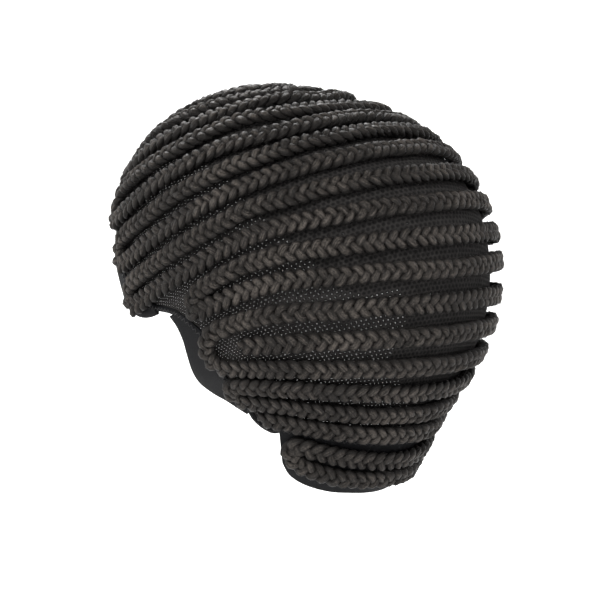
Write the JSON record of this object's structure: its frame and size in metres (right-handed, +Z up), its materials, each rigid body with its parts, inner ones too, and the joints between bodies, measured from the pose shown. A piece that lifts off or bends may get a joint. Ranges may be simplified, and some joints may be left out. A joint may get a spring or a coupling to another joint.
{
  "type": "braided wig cap",
  "caption": "Stretch net wig cap covered in sewn rows of dark hair braids, with smooth front band, ear tabs and nape band, held in its worn shape.",
  "frame": {"origin": "highest point of the cap's inside, where it rests on the crown of the head", "axes": "+Z up, the face looks towards -Y, the wearer's left is +X"},
  "size_m": [0.1616, 0.1798, 0.181],
  "materials": {
    "net": "matt stretch power net",
    "elastic": "smooth matt elastic knit",
    "braid": "braided synthetic hair, soft sheen"
  },
  "bodies": {
    "root": {"net_crown": "net", "front_band": "elastic", "left_ear_tab": "elastic", "right_ear_tab": "elastic", "nape_band": "elastic", "braid_01_nape_loop": "braid", "braid_02_neck_row": "braid", "braid_03_neck_loop": "braid", "braid_04_ear_loop": "braid", "braid_05_ear_row": "braid", "braid_06_temple_loop": "braid", "braid_07_corner_loop": "braid", "braid_08_side_loop": "braid", "braid_09_hairline_loop": "braid", "braid_10_crown_loop": "braid", "braid_11_crown_row": "braid", "braid_12_top_row": "braid"}
  },
  "joints": []
}
